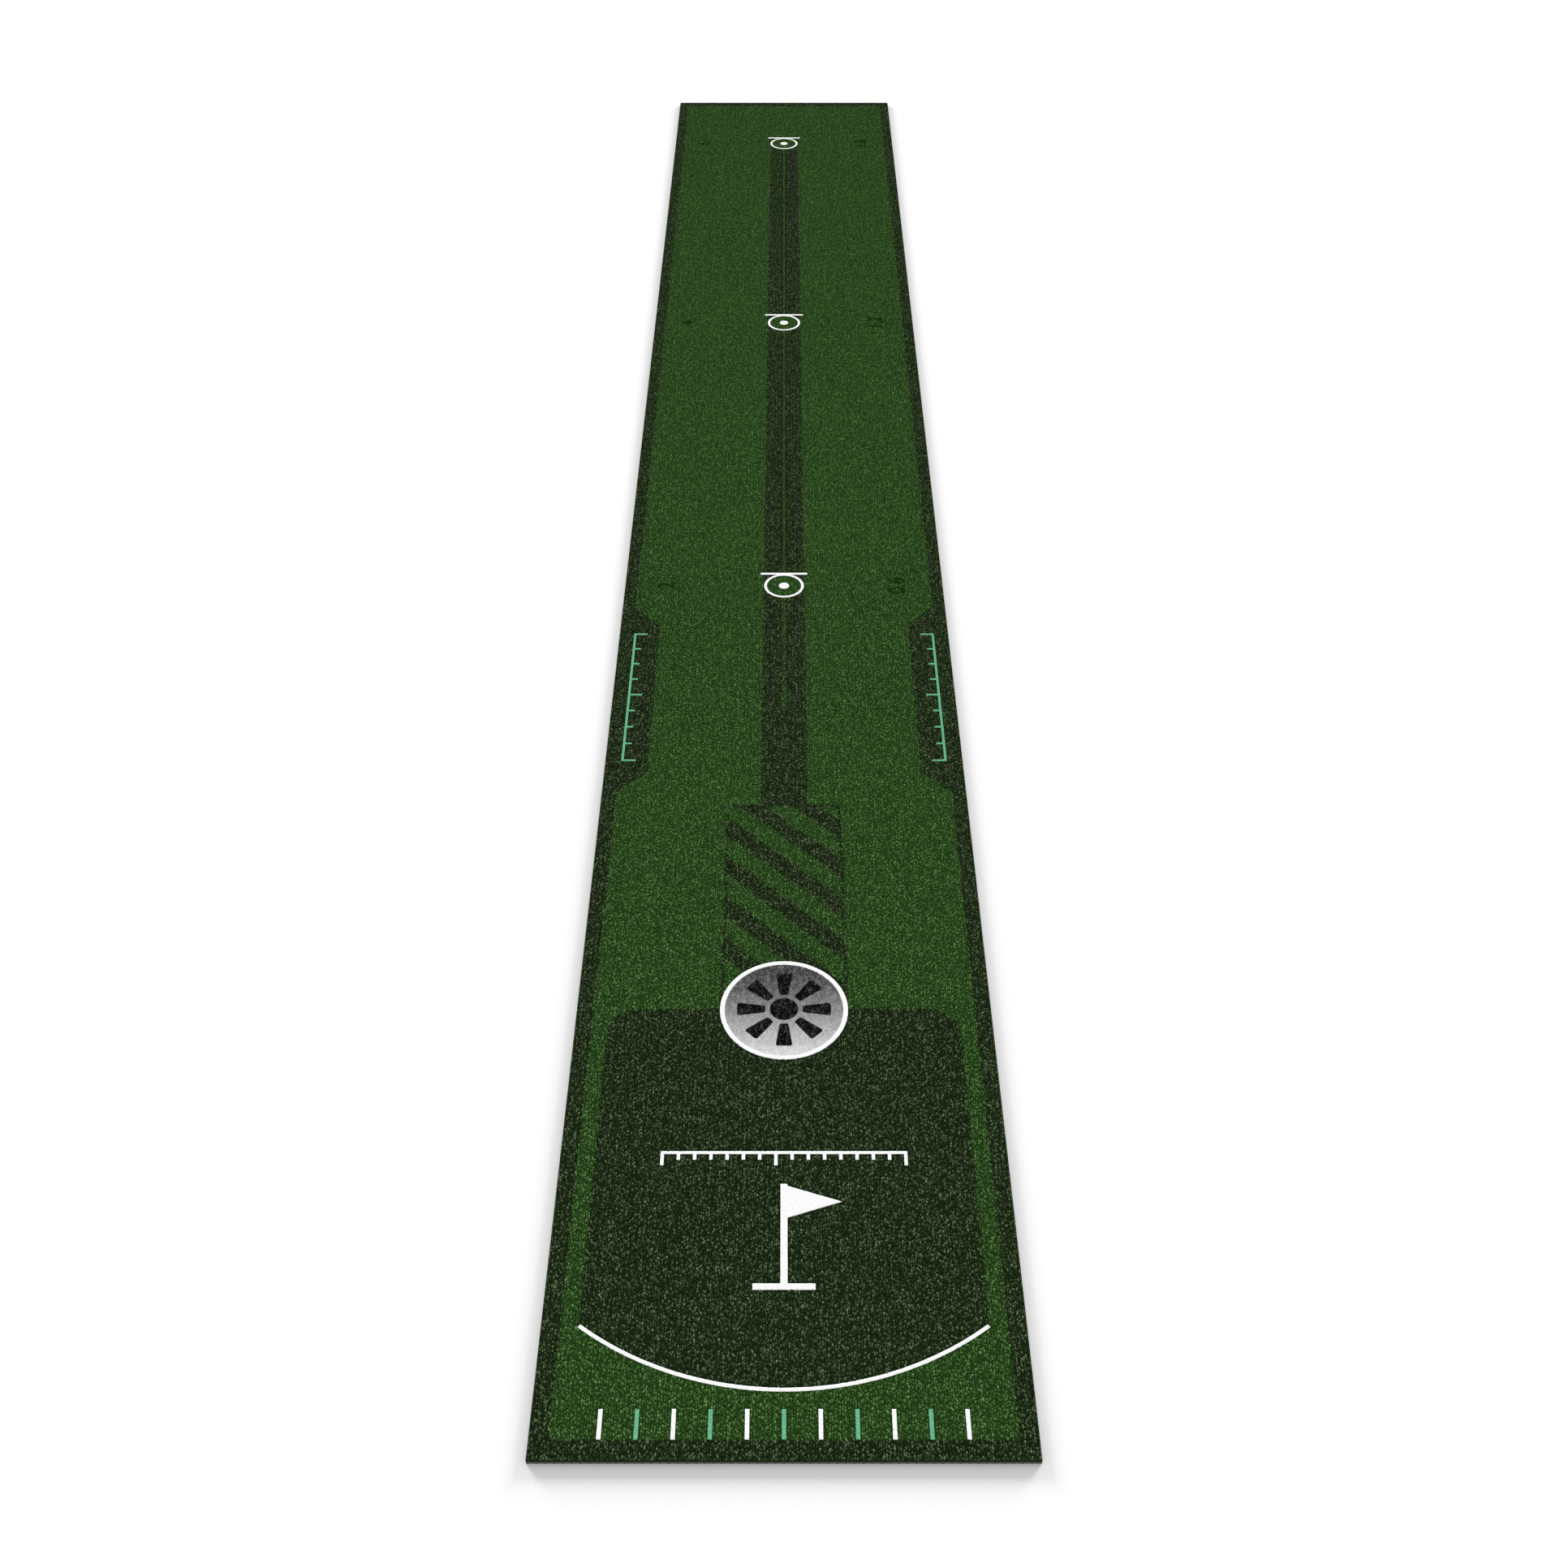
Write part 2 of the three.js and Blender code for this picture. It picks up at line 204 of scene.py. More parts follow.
# Each dye's tones: the darkest, how far tufts stray up from it, and how strongly they crowd
# towards the dark end. The cup's face also runs from dark at its far side to pale at its near side.
TONES = {
    "green_pile": {"Tone": 0.12, "Stray": 0.88, "Crowding": 2.0},
    "dark_pile": {"Tone": 0.0, "Stray": 1.0, "Crowding": 2.2},
    "white_pile": {"Tone": 0.3, "Stray": 0.6, "Crowding": 1.0},
    "teal_pile": {"Tone": 0.2, "Stray": 0.6, "Crowding": 1.0},
    "grey_pile": {"Tone": -0.065, "Stray": 0.42, "Crowding": 1.6, "Near end lighter": 0.78},
    "black_pile": {"Tone": 0.0, "Stray": 1.0, "Crowding": 3.5},
}

# ---------------------------------------------------------------- sizes of the layers

# The ribs under the rubber sheet.
RIB_DEPTH = 0.4 * MM
RIB_PITCH = 6 * MM
RIB_WIDTH = 1.6 * MM
CROSS_RIB_STEP = 0.04 * MM

# The cloth's facets and the pitch of its weave.
CLOTH_FACET = 10 * MM
WEAVE_PITCH = 1.6 * MM

# ---------------------------------------------------------------- stage, light and camera

FLOOR_SIZE = 60.0

# The camera stands this far before the near end and over the pile, and looks down by this much.
CAMERA_BEFORE_MAT = 0.5725
CAMERA_OVER_MAT = 1.1352
CAMERA_DIP = math.radians(42.145)
CAMERA_LENS = 40.25

# Even light from all round, and wide lamps at this height and these turns off the mat's length.
WORLD_LIGHT = 0.78
SUN_STRENGTH = 3.8
SUN_SPREAD = math.radians(20)
SUN_HEIGHT = math.radians(12)
SUN_TURNS = (math.radians(-35), math.radians(35))

# ---------------------------------------------------------------- object helpers


def add_object(name, data):
    """A new object that holds a mesh, a lamp or a camera."""
    made = bpy.data.objects.new(name, data)
    bpy.context.collection.objects.link(made)
    return made


def object_from(shape, name):
    """A new object from an edited shape, which is freed."""
    mesh = bpy.data.meshes.new(name)
    shape.to_mesh(mesh)
    shape.free()
    return add_object(name, mesh)


def joined(sources, name):
    """One object from the meshes of several that stand at the origin."""
    shape = bmesh.new()
    for source in sources:
        shape.from_mesh(source.data)
    return object_from(shape, name)


def make_box(name, low, high):
    """A closed box."""
    shape = bmesh.new()
    bmesh.ops.create_cube(shape, size=1.0)
    for vertex in shape.verts:
        vertex.co = [(a + b) / 2 + c * (b - a) for a, b, c in zip(low, high, vertex.co)]
    return object_from(shape, name)


def grown(source, tree, values, name):
    """The plain mesh that a tree makes from an object, as a new object."""
    modifier = source.modifiers.new("grow", "NODES")
    modifier.node_group = tree
    sockets = [s for s in tree.interface.items_tree if s.in_out == "INPUT"]
    for socket in sockets:
        if socket.name in values:
            modifier[socket.identifier] = values[socket.name]
    shown = bpy.context.evaluated_depsgraph_get()
    mesh = bpy.data.meshes.new_from_object(
        source.evaluated_get(shown), preserve_all_data_layers=True, depsgraph=shown
    )
    source.modifiers.remove(modifier)
    mesh.name = name
    return add_object(name, mesh)


def keep_piece(piece, slot, *nodes):
    """Says what a finished piece rides on and hides the frame nodes that it stands for. The finish named
    by slot is not used.
    """
    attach(piece, BODY)
    if nodes:
        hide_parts(*nodes)
    return piece


# ---------------------------------------------------------------- node helpers


def add_node(tree, kind, values=None, **settings):
    """One node. values gives its inputs, by name or place, as plain values or other sockets."""
    node = tree.nodes.new(kind)
    for name, value in settings.items():
        setattr(node, name, value)
    for key, value in (values or {}).items():
        if isinstance(value, bpy.types.NodeSocket):
            tree.links.new(value, node.inputs[key])
        else:
            node.inputs[key].default_value = value
    return node


def calc(tree, operation, *values):
    """The result of one sum on numbers or sockets."""
    return add_node(tree, "ShaderNodeMath", dict(enumerate(values)), operation=operation).outputs[0]


def least(tree, *values):
    """The least of some numbers."""
    result = values[0]
    for value in values[1:]:
        result = calc(tree, "MINIMUM", result, value)
    return result


def clamp(tree, value, low, high):
    """A number held between two others."""
    return add_node(tree, "ShaderNodeClamp", {"Value": value, "Min": low, "Max": high}).outputs[0]


def add_inputs(tree, sockets):
    """Named inputs of a tree or group: (name, socket type, first value)."""
    for name, kind, value in sockets:
        socket = tree.interface.new_socket(name, in_out="INPUT", socket_type=kind)
        if value is not None:
            socket.default_value = value


def split(tree, vector):
    """The three parts of a vector."""
    return add_node(tree, "ShaderNodeSeparateXYZ", {0: vector}).outputs


def combine(tree, x, y, z=0.0):
    """A vector from three numbers."""
    return add_node(tree, "ShaderNodeCombineXYZ", {0: x, 1: y, 2: z}).outputs[0]


def move(tree, place, other, operation="ADD"):
    """A place moved by another vector, or held to one side of it."""
    return add_node(tree, "ShaderNodeVectorMath", {0: place, 1: other}, operation=operation).outputs[0]


# ---------------------------------------------------------------- geometry node helpers


def position(tree):
    """Where a point is."""
    return add_node(tree, "GeometryNodeInputPosition").outputs[0]


def corners(tree, geometry):
    """The parts of the low and the high corner of a geometry's box."""
    box = add_node(tree, "GeometryNodeBoundBox", {"Geometry": geometry}).outputs
    return split(tree, box["Min"]), split(tree, box["Max"])


def shape_of(tree, target):
    """The geometry of an object."""
    return add_node(tree, "GeometryNodeObjectInfo", {"Object": target}).outputs["Geometry"]


def shift(tree, geometry, offset):
    """A geometry whose points are moved."""
    return add_node(tree, "GeometryNodeSetPosition", {"Geometry": geometry, "Offset": offset}).outputs[0]


def only_if(tree, switch, geometry):
    """A geometry, or nothing where a switch is off."""
    return add_node(tree, "GeometryNodeSwitch", {
        "Switch": switch, "True": geometry,
    }, input_type="GEOMETRY").outputs[0]


def join(tree, *parts):
    """Several geometries as one."""
    node = add_node(tree, "GeometryNodeJoinGeometry")
    for part in parts:
        tree.links.new(part, node.inputs[0])
    return node.outputs[0]


def placed_on(tree, points, values):
    """Copies of a shape on points, as plain geometry. values says which shape, and how it is set."""
    copies = add_node(tree, "GeometryNodeInstanceOnPoints", {"Points": points, **values}).outputs[0]
    return add_node(tree, "GeometryNodeRealizeInstances", {"Geometry": copies}).outputs[0]


def store(tree, geometry, name, value, data_type="FLOAT", domain="POINT"):
    """Keeps a value on the geometry under a name."""
    node = add_node(tree, "GeometryNodeStoreNamedAttribute", data_type=data_type, domain=domain)
    tree.links.new(geometry, node.inputs["Geometry"])
    node.inputs["Name"].default_value = name
    tree.links.new(value, node.inputs["Value"])
    return node.outputs["Geometry"]


def kept(tree, name):
    """A number kept on the geometry earlier."""
    return add_node(tree, "GeometryNodeInputNamedAttribute", {"Name": name}, data_type="FLOAT").outputs[0]


def random_number(tree, given, purpose, low, high):
    """A number that differs from stitch to stitch."""
    step = 1 + RANDOM_STEPS.index(purpose)
    seed = calc(tree, "ADD", given["Seed"], float(step))
    node = add_node(tree, "FunctionNodeRandomValue", data_type="FLOAT")
    for name, value in (("Min", low), ("Max", high), ("Seed", seed), ("ID", kept(tree, "cell"))):
        socket = next(s for s in node.inputs if s.name == name and s.enabled)
        if isinstance(value, bpy.types.NodeSocket):
            tree.links.new(value, socket)
        else:
            socket.default_value = value
    return next(s for s in node.outputs if s.enabled)


def spread(tree, given, purpose, reach):
    """A number between minus reach and reach that differs from stitch to stitch."""
    return random_number(tree, given, purpose, calc(tree, "MULTIPLY", reach, -1.0), reach)


def is_hit(tree, target, place, length=RAY_LIFT + TUFT_ROOT, direction=(0, 0, -1)):
    """1 where a ray from just over a place meets a shape, else 0."""
    return add_node(tree, "GeometryNodeRaycast", {
        "Target Geometry": target, "Source Position": move(tree, place, (0, 0, RAY_LIFT)),
        "Ray Direction": direction, "Ray Length": length,
    }).outputs["Is Hit"]


# ---------------------------------------------------------------- the places of the tufts


def stitch_span(tree, low, high, pitch):
    """The stitches of the mat's grid from low up to high: their middle, their span and their count."""
    first = calc(tree, "CEIL", calc(tree, "DIVIDE", low, pitch))
    count = calc(tree, "SUBTRACT", calc(tree, "CEIL", calc(tree, "DIVIDE", high, pitch)), first)
    gaps = calc(tree, "SUBTRACT", count, 1.0)
    middle = calc(tree, "MULTIPLY", calc(tree, "MULTIPLY_ADD", gaps, 0.5, first), pitch)
    return middle, calc(tree, "MULTIPLY", gaps, pitch), count


def stitch_number(tree, at, middle, pitch):
    """Which stitch of the mat's grid a point stands for, when its grid has this middle."""
    return calc(tree, "ROUND", calc(tree, "DIVIDE", calc(tree, "ADD", at, middle), pitch))


def stitch_points(tree, given, low, high):
    """Points for the stitches of the mat's one grid that lie in or next to a region.

    Every other row is half a stitch on, and each point strays a little from its place.
    """
    row_pitch, stitch_pitch = given["Row pitch"], given["Stitch pitch"]
    margin = calc(tree, "ADD", given["Fray"], stitch_pitch)
    left = calc(tree, "SUBTRACT", low[0], margin)
    right = calc(tree, "ADD", high[0], margin)
    near = calc(tree, "MAXIMUM", calc(tree, "SUBTRACT", low[1], margin), given["From"])
    far = calc(tree, "MINIMUM", calc(tree, "ADD", high[1], margin), given["To"])
    middle_x, span_x, columns = stitch_span(tree, left, right, row_pitch)
    middle_y, span_y, places = stitch_span(tree, near, far, stitch_pitch)
    grid = add_node(tree, "GeometryNodeMeshGrid", {
        "Size X": span_x, "Size Y": span_y, "Vertices X": columns, "Vertices Y": places,
    }).outputs["Mesh"]

    at_x, at_y, _ = split(tree, position(tree))
    column = stitch_number(tree, at_x, middle_x, row_pitch)
    place = stitch_number(tree, at_y, middle_y, stitch_pitch)
    odd = calc(tree, "FLOORED_MODULO", column, 2.0)
    pair = calc(tree, "FLOOR", calc(tree, "MULTIPLY", column, 0.5))
    every_other_place = calc(tree, "FLOORED_MODULO", calc(tree, "ADD", place, pair), 2.0)
    grid = store(tree, grid, "lattice", calc(tree, "MULTIPLY", odd, every_other_place))
    grid = store(tree, grid, "cell", calc(tree, "MULTIPLY_ADD", column, float(PLACES), place))

    stray_x = spread(tree, given, "place across", given["Scatter"])
    stray_y = spread(tree, given, "place along", given["Scatter"])
    half_stitch = calc(tree, "MULTIPLY", calc(tree, "SUBTRACT", odd, 0.5), 0.5)
    shift_x = calc(tree, "MULTIPLY_ADD", stray_x, row_pitch, middle_x)
    shift_y = calc(tree, "MULTIPLY_ADD", calc(tree, "ADD", stray_y, half_stitch), stitch_pitch, middle_y)
    return shift(tree, grid, combine(tree, shift_x, shift_y, given["Ground"]))


def hem_points(tree, given, mat_low, mat_high):
    """A row of points round the mat, just inside its outline."""
    inset = calc(tree, "MULTIPLY", given["Hem inset"], -2.0)
    sides, middle = [], []
    for axis in (0, 1):
        side = calc(tree, "SUBTRACT", mat_high[axis], mat_low[axis])
        sides.append(calc(tree, "ADD", side, inset))
        middle.append(calc(tree, "MULTIPLY", calc(tree, "ADD", mat_high[axis], mat_low[axis]), 0.5))
    outline = add_node(tree, "GeometryNodeCurvePrimitiveQuadrilateral", {
        "Width": sides[0], "Height": sides[1],
    }).outputs[0]
    hem = add_node(tree, "GeometryNodeCurveToPoints", {
        "Curve": outline, "Length": given["Hem pitch"],
    }, mode="LENGTH").outputs["Points"]
    hem = shift(tree, hem, combine(tree, *middle, given["Ground"]))
    hem = store(tree, hem, "cell", add_node(tree, "GeometryNodeInputIndex").outputs[0])
    hem = add_node(tree, "GeometryNodePointsToVertices", {"Points": hem}).outputs[0]
    return only_if(tree, given["With hem"], hem)


def dyed_place(tree, given):
    """The place that a tuft takes its dye from, up to a fray away and clear of the mat's outline."""
    fray_x = spread(tree, given, "fray across", given["Fray"])
    fray_y = spread(tree, given, "fray along", given["Fray"])
    place = move(tree, position(tree), combine(tree, fray_x, fray_y))
    highest = move(tree, given["Mat high"], (-DYED_EDGE, -DYED_EDGE, 0))
    lowest = move(tree, given["Mat low"], (DYED_EDGE, DYED_EDGE, 0))
    return move(tree, move(tree, place, highest, "MINIMUM"), lowest, "MAXIMUM")


def distance_to_walls(tree, marks, mat_low, mat_high):
    """How far a point lies from the nearest wall of the marks or the mat's outline."""
    slope = split(tree, add_node(tree, "GeometryNodeInputNormal").outputs[0])[2]
    upright = calc(tree, "LESS_THAN", calc(tree, "ABSOLUTE", slope), UPRIGHT)
    walls = add_node(tree, "GeometryNodeSeparateGeometry", {
        "Geometry": marks, "Selection": upright,
    }, domain="FACE").outputs["Selection"]
    to_mark = add_node(tree, "GeometryNodeProximity", {"Geometry": walls}, target_element="FACES")
    here_x, here_y, _ = split(tree, position(tree))
    return least(
        tree, to_mark.outputs["Distance"],
        calc(tree, "SUBTRACT", here_x, mat_low[0]), calc(tree, "SUBTRACT", mat_high[0], here_x),
        calc(tree, "SUBTRACT", here_y, mat_low[1]), calc(tree, "SUBTRACT", mat_high[1], here_y),
    )


def growing_points(tree, given, places, marks, to_wall):
    """The places that a tuft grows on: dyed by the region, clear of the walls and off the marks."""
    clear = calc(tree, "GREATER_THAN", to_wall, given["Edge room"])
    on_mark = calc(tree, "MULTIPLY", is_hit(tree, marks, position(tree)), given["Keep off marks"])
    dyed = calc(tree, "MULTIPLY", is_hit(tree, given["Region"], dyed_place(tree, given)), clear)
    grows = calc(tree, "MULTIPLY", dyed, calc(tree, "SUBTRACT", 1.0, on_mark))
    return add_node(tree, "GeometryNodeDeleteGeometry", {
        "Geometry": places, "Selection": calc(tree, "LESS_THAN", grows, 0.5),
    }, domain="POINT").outputs[0]


# ---------------------------------------------------------------- the tones of the tufts


def shading(tree, given, low, high):
    """How near a point lies to the region's near end, from 0 to 1, and its darkest tone there."""
    here_y = split(tree, position(tree))[1]
    length = calc(tree, "SUBTRACT", high[1], low[1])
    nearness = calc(tree, "DIVIDE", calc(tree, "SUBTRACT", high[1], here_y), length)
    ramp = calc(tree, "POWER", calc(tree, "MAXIMUM", nearness, 0.0), FALL)
    return nearness, calc(tree, "MULTIPLY_ADD", ramp, given["Near end lighter"], given["Tone"])


def worms_at(tree, given):
    """From 0 to 1: where the light tufts gather."""
    here_x, here_y, _ = split(tree, position(tree))
    place = combine(
        tree,
        calc(tree, "DIVIDE", here_x, given["Worm width"]),
        calc(tree, "DIVIDE", here_y, given["Worm length"]),
    )
    worms = add_node(tree, "ShaderNodeTexNoise", {
        "Vector": place, "Scale": 1.0, "Detail": 1.0,
    }, noise_dimensions="2D").outputs[0]
    return add_node(tree, "ShaderNodeMapRange", {
        "Value": worms, "From Min": WORM_NOISE[0], "From Max": WORM_NOISE[1],
    }).outputs[0]


def tone_at(tree, given, shade):
    """A tuft's tone: a crowded random number over the darkest tone, darker in a figure."""
    shared = calc(tree, "ADD", given["Worm share"], given["Lattice share"])
    chance = random_number(tree, given, "tone", 0.0, 1.0)
    chance = calc(tree, "MULTIPLY", chance, calc(tree, "SUBTRACT", 1.0, shared))
    chance = calc(tree, "MULTIPLY_ADD", worms_at(tree, given), given["Worm share"], chance)
    chance = calc(tree, "MULTIPLY_ADD", kept(tree, "lattice"), given["Lattice share"], chance)
    chance = calc(tree, "POWER", chance, given["Crowding"])
    tone = calc(tree, "MULTIPLY_ADD", chance, given["Stray"], shade)
    figures = shape_of(tree, given["Numerals"])
    printed = is_hit(tree, figures, position(tree), RAY_UP, (0, 0, 1))
    tone = calc(tree, "MULTIPLY", tone, calc(tree, "MULTIPLY_ADD", printed, -NUMERAL_FADE, 1.0))
    return clamp(tree, tone, *TONE_RANGE)


# ---------------------------------------------------------------- the tuft tree


def tufts_on(tree, given, points, to_wall):
    """The tufts, each turned, leaned and sized a little differently, on their dye's chart."""
    twist = spread(tree, given, "twist", given["Twist"])
    lean_x = spread(tree, given, "lean across", given["Lean"])
    lean_y = spread(tree, given, "lean along", given["Lean"])
    half_length = calc(tree, "MULTIPLY", given["Length"], 0.5)
    fit = calc(tree, "DIVIDE", calc(tree, "ADD", to_wall, given["Edge reach"]), half_length)
    fit = clamp(tree, fit, given["Least size"], 1.0)
    size = calc(tree, "MULTIPLY", fit, random_number(tree, given, "size", *SIZES))
    rise = random_number(tree, given, "rise", *RISES)
    scale = combine(
        tree,
        calc(tree, "MULTIPLY", given["Width"], size),
        calc(tree, "MULTIPLY", given["Length"], size),
        calc(tree, "MULTIPLY", given["Height"], rise),
    )
    tufts = placed_on(tree, points, {
        "Instance": shape_of(tree, given["Tuft"]),
        "Rotation": combine(tree, lean_x, lean_y, twist), "Scale": scale,
    })
    across = calc(tree, "MULTIPLY_ADD", kept(tree, "side"), SIDE_SPREAD, kept(tree, "tone"))
    return store(tree, tufts, "OFBake", combine(tree, across, kept(tree, "rise")), "FLOAT2", "CORNER")


def ground_of(tree, given, low, high):
    """The region's own solid, on a low strip of its dye's chart, in the roots' painted shade."""
    here_x = split(tree, position(tree))[0]
    width = calc(tree, "SUBTRACT", high[0], low[0])
    inward = calc(tree, "DIVIDE", calc(tree, "SUBTRACT", here_x, low[0]), width)
    strip = calc(tree, "MULTIPLY_ADD", inward, GROUND_STRIP[1] - GROUND_STRIP[0], GROUND_STRIP[0])
    nearness, shade = shading(tree, given, low, high)
    tone = calc(tree, "MULTIPLY_ADD", shade, GROUND_FOLLOWS, GROUND_TONE)
    along = calc(tree, "MULTIPLY_ADD", nearness, GROUND_DRIFT, tone)
    solid = store(tree, given["Region"], "OFBake", combine(tree, along, strip), "FLOAT2", "CORNER")
    return only_if(tree, given["With solid"], solid)


def add_tuft_inputs(tree):
    """What the tuft tree can be told."""
    add_inputs(tree, [
        ("Region", "NodeSocketGeometry", None),
        ("Marks", "NodeSocketObject", None),
        ("Tuft", "NodeSocketObject", None),
        ("Numerals", "NodeSocketObject", None),
        ("Dye", "NodeSocketMaterial", None),
        ("Mat low", "NodeSocketVector", cad_low),
        ("Mat high", "NodeSocketVector", cad_high),
        ("From", "NodeSocketFloat", -PAST_THE_ENDS),
        ("To", "NodeSocketFloat", PAST_THE_ENDS),
        *((name, "NodeSocketFloat", size) for name, size in MARK_ROWS.items()),
        ("Height", "NodeSocketFloat", TUFT_HEIGHT),
        ("Ground", "NodeSocketFloat", GROUND),
        ("Keep off marks", "NodeSocketFloat", 0.0),
        ("Fray", "NodeSocketFloat", 0.0),
        ("Edge room", "NodeSocketFloat", EDGE_ROOM),
        ("Edge reach", "NodeSocketFloat", EDGE_REACH),
        ("Least size", "NodeSocketFloat", LEAST_SIZE),
        ("Worm width", "NodeSocketFloat", WORM_WIDTH),
        ("Worm length", "NodeSocketFloat", WORM_LENGTH),
        ("Worm share", "NodeSocketFloat", WORM_SHARE),
        ("Lattice share", "NodeSocketFloat", LATTICE_SHARE),
        ("Scatter", "NodeSocketFloat", SCATTER),
        ("Twist", "NodeSocketFloat", TWIST),
        ("Lean", "NodeSocketFloat", LEAN),
        ("Tone", "NodeSocketFloat", 0.0),
        ("Stray", "NodeSocketFloat", 1.0),
        ("Crowding", "NodeSocketFloat", 1.0),
        ("Near end lighter", "NodeSocketFloat", 0.0),
        ("With hem", "NodeSocketBool", False),
        ("Hem inset", "NodeSocketFloat", HEM_INSET),
        ("Hem pitch", "NodeSocketFloat", HEM_PITCH),
        ("With solid", "NodeSocketBool", True),
        ("Seed", "NodeSocketInt", SEED),
    ])


def make_tuft_tree():
    """Rows of tufts on the top of a region of pile, joined to the region's own solid.

    A tuft takes the dye of a place up to a fray away, so that fields of colour mingle at their edges.
    """
    tree = bpy.data.node_groups.new("tuft_rows", "GeometryNodeTree")
    add_tuft_inputs(tree)
    tree.interface.new_socket("Pile", in_out="OUTPUT", socket_type="NodeSocketGeometry")
    given = add_node(tree, "NodeGroupInput").outputs

    low, high = corners(tree, given["Region"])
    mat_low, mat_high = split(tree, given["Mat low"]), split(tree, given["Mat high"])
    stitches = stitch_points(tree, given, low, high)
    hem = hem_points(tree, given, mat_low, mat_high)
    marks = shape_of(tree, given["Marks"])
    to_wall = distance_to_walls(tree, marks, mat_low, mat_high)
    points = growing_points(tree, given, join(tree, stitches, hem), marks, to_wall)

    shade = shading(tree, given, low, high)[1]
    points = store(tree, points, "tone", tone_at(tree, given, shade))
    tufts = tufts_on(tree, given, points, to_wall)
    whole = join(tree, tufts, ground_of(tree, given, low, high))
    dyed = add_node(tree, "GeometryNodeSetMaterial", {
        "Geometry": whole, "Material": given["Dye"],
    }).outputs[0]
    for name in ("lattice", "cell", "tone", "side", "rise"):
        dyed = add_node(tree, "GeometryNodeRemoveAttribute", {"Geometry": dyed, "Name": name}).outputs[0]
    add_node(tree, "NodeGroupOutput", {0: dyed})
    return tree


def make_tuft():
    """One tuft of unit size: a foot, a ridge along Y, and where each point lies on the chart."""
    side, shoulder, end = FOOT_WIDTH / 2, FOOT_SHOULDERS / 2, RIDGE_LENGTH / 2
    foot = [
        (0.0, -0.5), (side, -shoulder), (side, shoulder),
        (0.0, 0.5), (-side, shoulder), (-side, -shoulder),
    ]
    ridge = [(0.0, -end), (0.0, end)]
    root = -TUFT_ROOT / TUFT_HEIGHT
    points = [(x, y, root) for x, y in foot] + [(x, y, 1.0) for x, y in ridge]
    front, back = len(foot), len(foot) + 1
    faces = [
        (0, 1, front), (1, 2, back, front), (2, 3, back),
        (3, 4, back), (4, 5, front, back), (5, 0, front),
    ]
    mesh = bpy.data.meshes.new("yarn_tuft")
    mesh.from_pydata(points, [], faces)
    mesh.polygons.foreach_set("use_smooth", [True] * len(faces))
    sides = mesh.attributes.new("side", "FLOAT", "POINT")
    sides.data.foreach_set("value", [y * 2 + SIDE_SLANT * x for x, y, _ in points])
    rises = mesh.attributes.new("rise", "FLOAT", "POINT")
    rises.data.foreach_set("value", [ROOT_RISE] * len(foot) + [TIP_RISE] * len(ridge))
    return add_object("yarn_tuft", mesh)


# ---------------------------------------------------------------- materials


def linear(red, green, blue):
    """A colour given as eight-bit sRGB numbers, in the linear numbers that shaders take."""
    shares = (part / 255 for part in (red, green, blue))
    return (*(((s + 0.055) / 1.055) ** 2.4 if s > 0.04045 else s / 12.92 for s in shares), 1.0)


def new_material(name):
    """An empty material, its tree and its shader, wired to the output."""
    material = bpy.data.materials.new(name)
    material.use_nodes = True
    tree = material.node_tree
    tree.nodes.clear()
    shader = add_node(tree, "ShaderNodeBsdfPrincipled")
    output = add_node(tree, "ShaderNodeOutputMaterial")
    tree.links.new(shader.outputs[0], output.inputs["Surface"])
    return material, tree, shader


def add_bump(tree, shader, height, strength, distance):
    """Relief from a height, on the shader's normal."""
    bump = add_node(tree, "ShaderNodeBump", {"Height": height, "Distance": distance, "Strength": strength})
    tree.links.new(bump.outputs["Normal"], shader.inputs["Normal"])


def blend(tree, factor, first, second):
    """A colour between two, which a mix node takes as its inputs 6 and 7."""
    return add_node(tree, "ShaderNodeMix", {0: factor, 6: first, 7: second}, data_type="RGBA").outputs[2]


def vary(tree, value, reach, start):
    """A number that moves by a reach from its start as a value goes from 0 to 1."""
    return calc(tree, "MULTIPLY_ADD", value, reach, start)


def noise(tree, place, scale, detail=3.0):
    """A noise value at a place, with so many lumps to the metre."""
    return add_node(tree, "ShaderNodeTexNoise", {
        "Vector": place, "Scale": scale, "Detail": detail,
    }).outputs[0]


